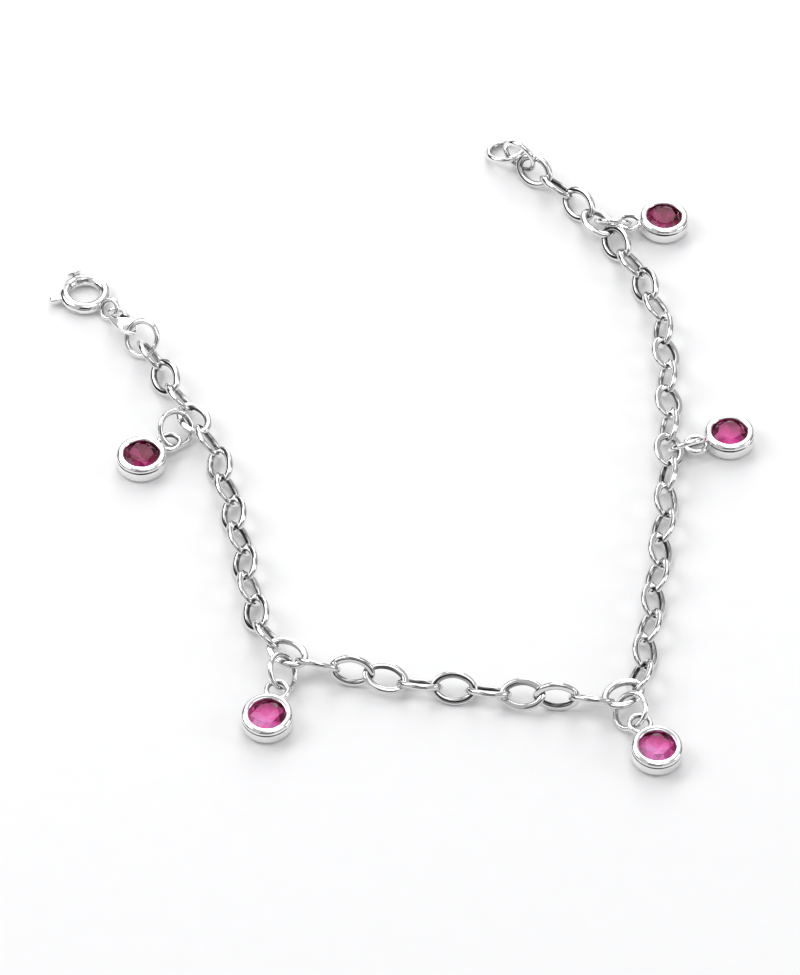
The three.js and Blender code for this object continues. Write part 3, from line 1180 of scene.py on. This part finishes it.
@dataclass
class Bezel:
    """A charm's setting: a closed cup with a rolled rim and a soldered eye."""

    outer: float = 6.1
    height: float = 2.3
    floor: float = 0.4
    rim_height: float = 0.62
    rim_round: float = 0.5
    opening: float = 4.3
    lip_round: float = 0.2
    lip_top: float = 2.22
    lip_foot: float = 1.98
    crease: float = 0.16
    crease_height: float = 0.3
    back_round: float = 0.6
    cavity: float = 5.2
    eye_height: float = 1.1
    solder: float = 0.42
    solder_shape: Triple = (0.6, 1.5, 1.0)
    steps: int = 96

    @property
    def eye_out(self) -> float:
        """The distance from the cup's axis to the eye's middle."""
        return self.outer / 2 + CHARM_EYE.outer / 2 - SOLDER_BITE

    def shape_cup(self, mould: Mould) -> None:
        """Add the cup, with its back on z = 0.

        Args:
            mould: Where it is added.
        """
        outer, lip = self.outer / 2, self.opening / 2
        foot = self.height - self.rim_height
        groove = outer - self.crease
        profile = (
            (0.0, 0.0),
            (outer, 0.0),
            (outer, foot - self.crease_height / 2),
            (groove, foot),
            (outer, foot + self.crease_height / 2),
            (outer, self.height),
            (lip, self.lip_top),
            (lip, self.lip_foot),
            (self.cavity / 2, foot),
            (self.cavity / 2, self.floor),
            (0.0, self.floor),
        )
        mould.lathe(profile, self.steps)
        rounds = (
            (outer, 0.0, self.back_round, 8),
            (outer, self.height, self.rim_round, 8),
            (lip, self.lip_top, self.lip_round, 5),
            (outer, foot - self.crease_height / 2, self.crease / 3, 3),
            (outer, foot + self.crease_height / 2, self.crease / 3, 3),
        )
        for radius, height, width, segments in rounds:
            mould.bevel(mould.corner(radius, height), width, segments)

    def build(self, number: int, place: Matrix, finishes: Finishes) -> None:
        """Add the setting.

        Args:
            number: The charm's number.
            place: The setting's frame.
            finishes: The finishes.
        """
        mould, eye = Mould(), Mould()
        self.shape_cup(mould)
        self.shade_crease(mould)
        eye.ring(CHARM_EYE)
        mould.join(eye, Matrix.Translation((-self.eye_out, 0, self.eye_height)))
        foot = Matrix.Translation((-self.outer / 2 - SOLDER_SHIFT, 0, self.eye_height))
        mould.solder(self.solder, self.solder_shape, foot)
        mould.place(place)
        add_piece(mould, f"bezel_cup_{number}", [finishes.silver], [f"bezel_{number}"])

    def shade_crease(self, mould: Mould) -> None:
        """Paint shade into the crease that runs round the cup below its rim, and dull it.

        Args:
            mould: The cup.
        """
        foot = self.height - self.rim_height
        deepest, fade, reach = 1.2 * self.crease, 0.3 * self.crease, 0.6 * self.crease_height

        def crease(where: Vector) -> float:
            """Give how much painted shade a place in the crease takes."""
            depth = self.outer / 2 - math.hypot(where.x, where.y)
            if depth > deepest:
                return 0.0
            near = 1 - abs(where.z - foot) / reach
            return keep_share(2 * near) * min(1.0, depth / fade)

        mould.paint_shade(crease)


@dataclass
class Charm:
    """One charm on its link: jump ring, setting and stone."""

    number: int
    pose: CharmPose
    link: LinkPlace
    bezel: Bezel = field(default_factory=Bezel)
    stone: Stone = field(default_factory=Stone)

    def ring(self) -> LeanRing:
        """Give the jump ring, hooked round the link's wire."""
        pose, link = self.pose, self.link
        hold = link.centre - link.across * LINK.half_width + link.along * pose.along
        ring = LeanRing(pose.tilt, pose.low, JUMP_RING)
        return ring.hook(hold, pose.link_side, pose.link_out)

    def place(self) -> Matrix:
        """Give the setting's frame: the middle of its back, and x away from its eye."""
        pose, ring = self.pose, self.ring()
        lift = math.radians(pose.lift)
        span = self.bezel.outer / 2 + self.bezel.eye_out + CHARM_EYE.radius
        top = span * math.sin(lift) + self.bezel.eye_height * math.cos(lift)
        reach = ring.reach_in(CHARM_EYE.wire, pose.eye_out)
        outward = on_bearing(pose.bearing, pose.lift)
        sideways = on_bearing(pose.bearing + 90)
        upright = outward.cross(sideways)
        back = ring.centre + ring.towards(top, reach, pose.eye_side) * reach
        back += outward * (CHARM_EYE.radius + self.bezel.eye_out)
        return frame_at(back - upright * self.bezel.eye_height, outward, sideways)

    def build(self, shift: Matrix, finishes: Finishes) -> None:
        """Add the charm.

        Args:
            shift: From the lay's frame to the model's.
            finishes: The finishes.
        """
        place = shift @ self.place()
        name, node = f"jump_ring_{self.number}", f"charm_ring_{self.number}"
        add_jump_ring(name, node, shift @ self.ring().matrix(), self.pose.joint, finishes)
        self.bezel.build(self.number, place, finishes)
        self.stone.build(self.number, place, finishes)


def add_jump_ring(
    name: str, node: str, place: Matrix, joint: float, finishes: Finishes
) -> None:
    """Add a jump ring whose cut ends meet.

    Args:
        name: The piece's name.
        node: The solid that it replaces.
        place: Its frame.
        joint: Where the cut ends meet, in degrees from the frame's x axis.
        finishes: The finishes.
    """
    mould = Mould()
    mould.split_ring(JUMP_RING)
    mould.place(place @ turn_about_z(joint))
    add_piece(mould, name, [finishes.silver], [node])


@dataclass
class Clasp:
    """The spring ring: a round tube with a gate, its bolt and trigger, tab and eye."""

    outer: float = 6.4
    tube: float = 1.45
    bore: float = 1.02
    gate_from: float = 148.0
    gate_to: float = 176.0
    bolt_wire: float = 0.7
    bolt_tail: float = 78.0
    bolt_tip: float = 188.0
    bolt_travel: float = 38.0
    bolt_sides: int = 20
    trigger_at: float = 112.0
    stem: float = 0.5
    stem_edge: float = 0.12
    stem_shade: float = 0.75
    trigger_reach: float = 1.05
    bar_length: float = 1.7
    bar_width: float = 0.4
    bar_height: float = 0.6
    bar_edge: float = 0.09
    tab_at: float = 196.0
    tab_reach: float = 1.35
    tab_size: float = 0.85
    tab_edge: float = 0.28
    eye_at: float = -45.0
    eye_height: float = 1.26
    eye_lean: float = 46.0
    solder: float = 0.4
    solder_shape: Triple = (0.7, 1.3, 1.0)
    step: float = 2.0
    section_step: float = 7.5
    slot_half: float = 30.0
    slot_play: float = 8.0
    strap_from: float = -15.0
    strap_to: float = 165.0
    strap_width: float = 18.0
    strap_shade: float = 0.55
    strap_gap: float = 0.02
    strap_thickness: float = 0.13
    groove_from: float = 200.0
    groove_to: float = 258.0
    groove_depth: float = 0.13
    skin_share: float = 0.48
    sharp_angle: float = 50.0
    sharp_round: float = 0.04
    near: float = 1.0
    grooves: tuple[float, ...] = (-7.5, -30.0)

    @property
    def radius(self) -> float:
        """The radius of the tube's middle."""
        return (self.outer - self.tube) / 2

    @property
    def eye_out(self) -> float:
        """The distance from the clasp's middle to its eye's middle."""
        return (self.outer + CLASP_EYE.outer) / 2 - SOLDER_BITE

    def arc_section(
        self, mould: Mould, inner: float, outer: float, start: float, stop: float
    ) -> Verts:
        """Add a closed section between two arcs round the tube's middle, in the xz plane.

        Args:
            mould: Where it is added.
            inner: The radius of the inner arc.
            outer: The radius of the outer arc.
            start: Where the arcs start, in degrees from the tube's outside.
            stop: Where they stop.

        Returns:
            The section's vertices.
        """
        count = round((stop - start) / self.section_step)
        turns = [math.radians(start + self.section_step * k) for k in range(count + 1)]
        spots = [(outer, turn) for turn in turns] + [(inner, turn) for turn in reversed(turns)]
        verts = [
            mould.mesh.verts.new((self.radius + out * math.cos(turn), 0, out * math.sin(turn)))
            for out, turn in spots
        ]
        for first, second in zip(verts, verts[1:] + verts[:1]):
            mould.mesh.edges.new((first, second))
        return verts

    def spin_span(
        self, mould: Mould, verts: Verts, start: float, stop: float
    ) -> None:
        """Spin a section along the tube.

        Args:
            mould: The section's mould.
            verts: The section.
            start: The bearing where the span starts, in degrees.
            stop: The bearing where it stops.
        """
        turn = Matrix.Rotation(math.radians(start), 3, "Z")
        bmesh.ops.rotate(mould.mesh, cent=(0, 0, 0), matrix=turn, verts=verts)
        mould.spin(verts, round((stop - start) / self.step), math.radians(stop - start))

    def shape_tube(self, mould: Mould) -> None:
        """Add the tube, open at its gate and slotted for the trigger.

        Args:
            mould: Where it is added.
        """
        sides = round(360 / self.section_step)
        slot_from = self.trigger_at - self.bolt_travel - self.slot_play
        slot_to = self.trigger_at + self.slot_play
        for start, stop in ((slot_to, self.gate_from), (self.gate_to, slot_from + 360)):
            for size in (self.tube, self.bore):
                verts = mould.section(self.radius, size, sides)
                self.spin_span(mould, verts, start, stop)
        verts = self.arc_section(
            mould, self.bore / 2, self.tube / 2, self.slot_half, 360 - self.slot_half
        )
        self.spin_span(mould, verts, slot_from, slot_to)
        bmesh.ops.remove_doubles(mould.mesh, verts=mould.mesh.verts, dist=0.002)
        for bearing in (self.gate_from, self.gate_to):
            rims = [edge for edge in mould.rims() if self.is_at(edge, bearing)]
            bmesh.ops.bridge_loops(mould.mesh, edges=rims)
        mould.cap(mould.rims())
        mould.face_out()
        ends = [
            edge
            for edge in mould.sharp_edges(self.sharp_angle)
            if self.is_at(edge, self.gate_from) or self.is_at(edge, self.gate_to)
        ]
        mould.bevel(ends, self.sharp_round, 2)
        self.groove(mould)

    def groove(self, mould: Mould) -> None:
        """Press grooves into the tube's outside, with painted shade in them.

        Args:
            mould: The tube.
        """
        layer = mould.mesh.verts.layers.float["hollow"]
        for vert in mould.mesh.verts:
            out = math.hypot(vert.co.x, vert.co.y) - self.radius
            reach = math.hypot(out, vert.co.z)
            angle = math.degrees(math.atan2(vert.co.z, out))
            at_groove = min(abs(angle - groove) for groove in self.grooves) < self.near
            within = self.groove_from < self.bearing(vert.co) < self.groove_to
            if at_groove and within and reach > self.skin_share * self.tube:
                share = 1 - self.groove_depth / reach
                level = (self.radius + out * share) / (self.radius + out)
                vert.co = Vector((vert.co.x * level, vert.co.y * level, vert.co.z * share))
                # Painted shade in the groove.
                vert[layer] = 1.0

    def bearing(self, where: Vector) -> float:
        """Give a place's bearing round the clasp, in degrees from 0 to 360."""
        return math.degrees(math.atan2(where.y, where.x)) % 360

    def is_at(self, edge: bmesh.types.BMEdge, bearing: float) -> bool:
        """Tell whether an edge starts at a bearing."""
        return abs(self.bearing(edge.verts[0].co) - bearing) < self.near

    def build_body(self, place: Matrix, finishes: Finishes) -> None:
        """Add the tube with its tab and eye.

        Args:
            place: The clasp's frame.
            finishes: The finishes.
        """
        mould, eye = Mould(), Mould()
        self.shape_tube(mould)
        eye.ring(CLASP_EYE)
        lean = Matrix.Rotation(math.radians(self.eye_lean), 4, "X")
        rise = self.eye_height - self.tube / 2
        out = Matrix.Translation((self.eye_out, 0, rise))
        turn = turn_about_z(self.eye_at)
        mould.join(eye, turn @ out @ lean)
        foot = Matrix.Translation((self.outer / 2 - SOLDER_SHIFT, 0, rise / 2))
        mould.solder(self.solder, self.solder_shape, turn @ foot)
        half = self.tab_size / 2
        mould.block(
            Vector((self.radius + self.tube / 2 - SOLDER_BITE, -half, -half)),
            Vector((self.outer / 2 + self.tab_reach, half, half)),
            turn_about_z(self.tab_at),
            width=self.tab_edge,
            segments=5,
        )
        mould.place(place)
        add_piece(mould, "clasp_tube", [finishes.silver], ["clasp_body"])

    def shape_strap(self) -> Mould:
        """Shape the trigger's strap, which bends over the top of the tube."""
        strap = Mould()
        inner = self.tube / 2 + self.strap_gap
        outer = inner + self.strap_thickness
        verts = self.arc_section(strap, inner, outer, self.strap_from, self.strap_to)
        half = self.strap_width / 2
        self.spin_span(strap, verts, self.trigger_at - half, self.trigger_at + half)
        strap.cap(strap.rims())
        strap.face_out()
        strap.bevel(strap.sharp_edges(self.sharp_angle), self.sharp_round, 2)
        # A painted dark reflection on the strap, which also dulls it.
        strap.paint_shade(lambda where: self.strap_shade)
        return strap

    def build_bolt(self, place: Matrix, finishes: Finishes) -> None:
        """Add the bolt with its trigger.

        Args:
            place: The clasp's frame.
            finishes: The finishes.
        """
        mould = Mould()
        angle = self.bolt_tip - self.bolt_tail
        section = mould.section(self.radius, self.bolt_wire, self.bolt_sides)
        mould.spin(section, round(angle / self.step), math.radians(angle))
        mould.place(turn_about_z(self.bolt_tail))
        rims = mould.rims()
        mould.cap(rims)
        mould.bevel(rims, self.bolt_wire / 4, 4)
        mould.join(self.shape_strap(), Matrix.Identity(4))
        reach = self.outer / 2 + self.trigger_reach
        turn = turn_about_z(self.trigger_at)
        half, stem = self.stem / 2, Mould()
        stem.block(
            Vector((self.radius, -half, -half)),
            Vector((reach - self.bar_width / 2, half, half)),
            Matrix.Identity(4),
            width=self.stem_edge,
            segments=4,
        )
        # Painted shade on the stem, which also dulls it.
        stem.paint_shade(lambda where: self.stem_shade)
        mould.join(stem, turn)
        mould.block(
            Vector((reach - self.bar_width, -self.bar_length / 2, -self.bar_height / 2)),
            Vector((reach, self.bar_length / 2, self.bar_height / 2)),
            turn,
            width=self.bar_edge,
            segments=4,
        )
        mould.place(place)
        add_piece(
            mould, "clasp_trigger", [finishes.silver], ["clasp_bolt"], body=Body.TRIGGER
        )


@dataclass
class Tag:
    """A bare oval plate with a hole at each end."""

    length: float = 6.6
    width: float = 2.7
    thickness: float = 0.4
    hole: float = 1.6
    hole_margin: float = 0.5
    edge: float = 0.1
    sides: int = 72

    @property
    def spacing(self) -> float:
        """The distance between the holes' middles."""
        return self.length - self.hole - 2 * self.hole_margin

    def build(self, place: Matrix, finishes: Finishes) -> None:
        """Add the plate.

        Args:
            place: Its frame, long on x.
            finishes: The finishes.
        """
        mould = Mould()
        half = Matrix.Diagonal((self.length / 2, self.width / 2, 1, 1))
        base = Matrix.Translation((0, 0, -self.thickness / 2))
        mould.circle(1.0, self.sides, base @ half)
        for end in (-1, 1):
            shift = Matrix.Translation((end * self.spacing / 2, 0, 0))
            mould.circle(self.hole / 2, self.sides // 2, base @ shift)
        bmesh.ops.triangle_fill(
            mould.mesh, use_beauty=True, use_dissolve=False, edges=mould.mesh.edges
        )
        made = bmesh.ops.extrude_face_region(
            mould.mesh, geom=list(mould.mesh.faces), use_keep_orig=True
        )
        raised = [part for part in made["geom"] if isinstance(part, bmesh.types.BMVert)]
        bmesh.ops.translate(mould.mesh, vec=(0, 0, self.thickness), verts=raised)
        mould.face_out()
        mould.bevel(mould.sharp_edges(60), self.edge, 3)
        mould.place(place)
        add_piece(mould, "tag_plate", [finishes.silver], ["tag"])


@dataclass
class ClaspEnd:
    """The end with the clasp: jump ring, tag and spring ring."""

    link: LinkPlace
    tilt: float = 47.0
    low: float = -128.0
    link_side: int = 1
    link_out: float = 0.5
    tag_at: float = -84.0
    tag_bearing: float = 117.0
    tag_roll: float = 8.0
    joint: float = 200.0
    tag: Tag = field(default_factory=Tag)
    clasp: Clasp = field(default_factory=Clasp)

    def build(self, shift: Matrix, finishes: Finishes) -> None:
        """Add the end.

        Args:
            shift: From the lay's frame to the model's.
            finishes: The finishes.
        """
        hold = self.link.centre - self.link.along * LINK.half_length
        ring = LeanRing(self.tilt, self.low, JUMP_RING)
        place = shift @ ring.hook(hold, self.link_side, self.link_out).matrix()
        add_jump_ring("tag_jump_ring", "tag_ring", place, self.joint, finishes)

        near = ring.place_at(self.tag_at, ring.size.radius)
        drop = (near.z - self.clasp.eye_height) / self.tag.spacing
        along = on_bearing(self.tag_bearing, math.degrees(math.asin(drop)))
        level = on_bearing(self.tag_bearing + 90)
        upright = along.cross(level)
        roll = math.radians(self.tag_roll)
        across = level * math.cos(roll) + upright * math.sin(roll)
        middle = near + along * (self.tag.spacing / 2)
        self.tag.build(shift @ frame_at(middle, along, across), finishes)

        far = near + along * self.tag.spacing
        reach = CLASP_EYE.radius + self.clasp.eye_out
        centre = far - on_bearing(self.clasp.eye_at) * reach
        centre.z = self.clasp.tube / 2
        place = shift @ Matrix.Translation(centre)
        self.clasp.build_body(place, finishes)
        self.clasp.build_bolt(place, finishes)


@dataclass
class CatchEnd:
    """The other end: a jump ring, and the catch ring that leans on it."""

    link: LinkPlace
    tilt: float = 85.0
    low: float = 53.5
    link_side: int = -1
    link_out: float = 0.73
    catch_at: float = 134.0
    catch_bearing: float = 119.5
    joint: float = 250.0

    def build(self, shift: Matrix, finishes: Finishes) -> None:
        """Add the end.

        Args:
            shift: From the lay's frame to the model's.
            finishes: The finishes.
        """
        hold = self.link.centre + self.link.along * LINK.half_length
        ring = LeanRing(self.tilt, self.low, JUMP_RING)
        place = shift @ ring.hook(hold, self.link_side, self.link_out).matrix()
        add_jump_ring("end_jump_ring", "end_ring", place, self.joint, finishes)

        inside = ring.size.radius - (JUMP_RING.wire + CATCH_RING.wire) / 2 - PLAY
        held = ring.place_at(self.catch_at, inside)
        drop = held.z - CATCH_RING.wire / 2 - FLOOR_GAP
        tilt = math.degrees(math.asin(drop / (2 * CATCH_RING.radius)))
        outward = on_bearing(self.catch_bearing, tilt)
        centre = held + outward * CATCH_RING.radius
        lie = frame_at(centre, outward, on_bearing(self.catch_bearing + 90))
        mould = Mould()
        mould.ring(CATCH_RING)
        mould.place(shift @ lie)
        add_piece(mould, "catch_loop", [finishes.silver], ["catch_ring"])


@dataclass(frozen=True)
class Softbox:
    """A square light: where it stands, its side, and its power in watts."""

    name: str
    place: Triple
    side: float
    power: float

    def build(self, target: Vector) -> None:
        """Add the light.

        Args:
            target: What it shines at.
        """
        light = bpy.data.lights.new(self.name, "AREA")
        light.shape = "SQUARE"
        light.size = self.side
        light.energy = self.power
        holder = add_object(self.name, light)
        holder.location = self.place
        way = target - Vector(self.place)
        holder.rotation_mode = "QUATERNION"
        holder.rotation_quaternion = way.to_track_quat("-Z", "Y")
        holder.visible_camera = False


@dataclass(frozen=True)
class DarkCard:
    """A dark board that shows only in reflections: its middle, its width and its height."""

    name: str
    place: Triple
    width: float
    height: float

    def build(self, target: Vector, material: bpy.types.Material) -> None:
        """Add the board, upright and turned to a target.

        Args:
            target: What it faces.
            material: Its dark finish.
        """
        board = add_board(self.name, self.width, self.height, material)
        way = target - Vector(self.place)
        level = way.cross(UP).normalized()
        board.matrix_world = frame_at(Vector(self.place), level, level.cross(way).normalized())
        board.visible_camera = False
        board.visible_diffuse = False
        board.visible_shadow = False


@dataclass
class Studio:
    """The floor, the lights and the camera."""

    look_at: Triple = (0.0002, -0.0075, 0.001)
    elevation: float = 47.0
    distance: float = 0.9
    pixels_per_metre: float = 8250.0
    frame_height: float = 975.0
    sensor: float = 36.0
    floor_side: float = 6.0
    floor_drop: float = 0.02 * MM
    clip: tuple[float, float] = (0.01, 20.0)
    world_colour: Colour = (0.985, 0.99, 1.0, 1)
    world_strength: float = 0.54
    softboxes: tuple[Softbox, ...] = (
        Softbox("key_light", (-0.42, 0.10, 0.45), 0.38, 1.35),
        Softbox("top_light", (0.10, -0.10, 0.60), 0.34, 0.55),
        Softbox("back_light", (0.05, 0.52, 0.20), 0.24, 0.5),
        Softbox("side_light", (0.50, -0.05, 0.25), 0.22, 0.4),
        Softbox("high_light", (0.0, 0.46, 0.50), 0.42, 1.04),
    )
    cards: tuple[DarkCard, ...] = (
        DarkCard("card_front", (0.0, -0.82, 0.88), 0.90, 0.60),
        DarkCard("card_left", (-1.10, 0.20, 0.25), 1.30, 0.50),
        DarkCard("card_right", (1.10, 0.10, 0.22), 1.10, 0.44),
        DarkCard("card_back", (0.10, 1.20, 0.12), 1.50, 0.24),
        DarkCard("card_low", (-0.10, -1.20, 0.22), 1.20, 0.40),
        DarkCard("card_corner", (-0.70, 0.80, 0.50), 0.26, 0.50),
    )

    def build(self) -> None:
        """Add everything round the bracelet."""
        floor = add_board("floor", self.floor_side, self.floor_side, FloorFinish().make())
        floor.location.z = -self.floor_drop
        target = Vector((0.0, 0.0, 0.0))
        for softbox in self.softboxes:
            softbox.build(target)
        dark = CardFinish().make()
        for card in self.cards:
            card.build(target, dark)
        self.build_world()
        self.build_camera()

    def build_world(self) -> None:
        """Give the world an even grey."""
        world = bpy.data.worlds.new("studio")
        world.use_nodes = True
        background = world.node_tree.nodes["Background"]
        background.inputs["Color"].default_value = self.world_colour
        background.inputs["Strength"].default_value = self.world_strength
        bpy.context.scene.world = world
        bpy.context.scene.view_settings.view_transform = "Standard"

    def build_camera(self) -> None:
        """Stand the camera at the photograph's angle."""
        camera = bpy.data.cameras.new("camera")
        pixels = self.pixels_per_metre * self.distance
        camera.sensor_width = self.sensor
        camera.lens = pixels * self.sensor / self.frame_height
        camera.clip_start, camera.clip_end = self.clip
        holder = add_object("camera", camera)
        slope = math.radians(self.elevation)
        back = Vector((0.0, -math.cos(slope), math.sin(slope)))
        holder.location = Vector(self.look_at) + back * self.distance
        holder.rotation_mode = "QUATERNION"
        holder.rotation_quaternion = (-back).to_track_quat("-Z", "Y")
        bpy.context.scene.camera = holder


def find_shift(charm: Charm) -> Matrix:
    """Find the move from the lay's frame to the model's from a charm that lies flat.

    Args:
        charm: The charm, whose solid stone is round about its own axis.

    Returns:
        The move.
    """
    low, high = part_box(f"stone_{charm.number}")
    axis = charm.place().translation
    middle = (low + high) / (2 * MM)
    bottom = low.z / MM - charm.stone.bottom
    return Matrix.Translation((middle.x - axis.x, middle.y - axis.y, bottom - axis.z))


def main() -> None:
    """Build the bracelet's looks and its studio."""
    logging.basicConfig(level=logging.INFO, format="%(name)s: %(message)s")
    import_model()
    links = lay_chain()
    charms = [Charm(i + 1, pose, links[pose.link]) for i, pose in enumerate(CHARM_POSES)]
    flat = next(charm for charm in charms if charm.pose.lift == 0)
    shift = find_shift(flat)
    finishes = Finishes.make()
    Chain(links).build(shift, finishes)
    for charm in charms:
        charm.build(shift, finishes)
    ClaspEnd(links[0]).build(shift, finishes)
    CatchEnd(links[-1]).build(shift, finishes)
    Studio().build()


if __name__ == "__main__":
    main()
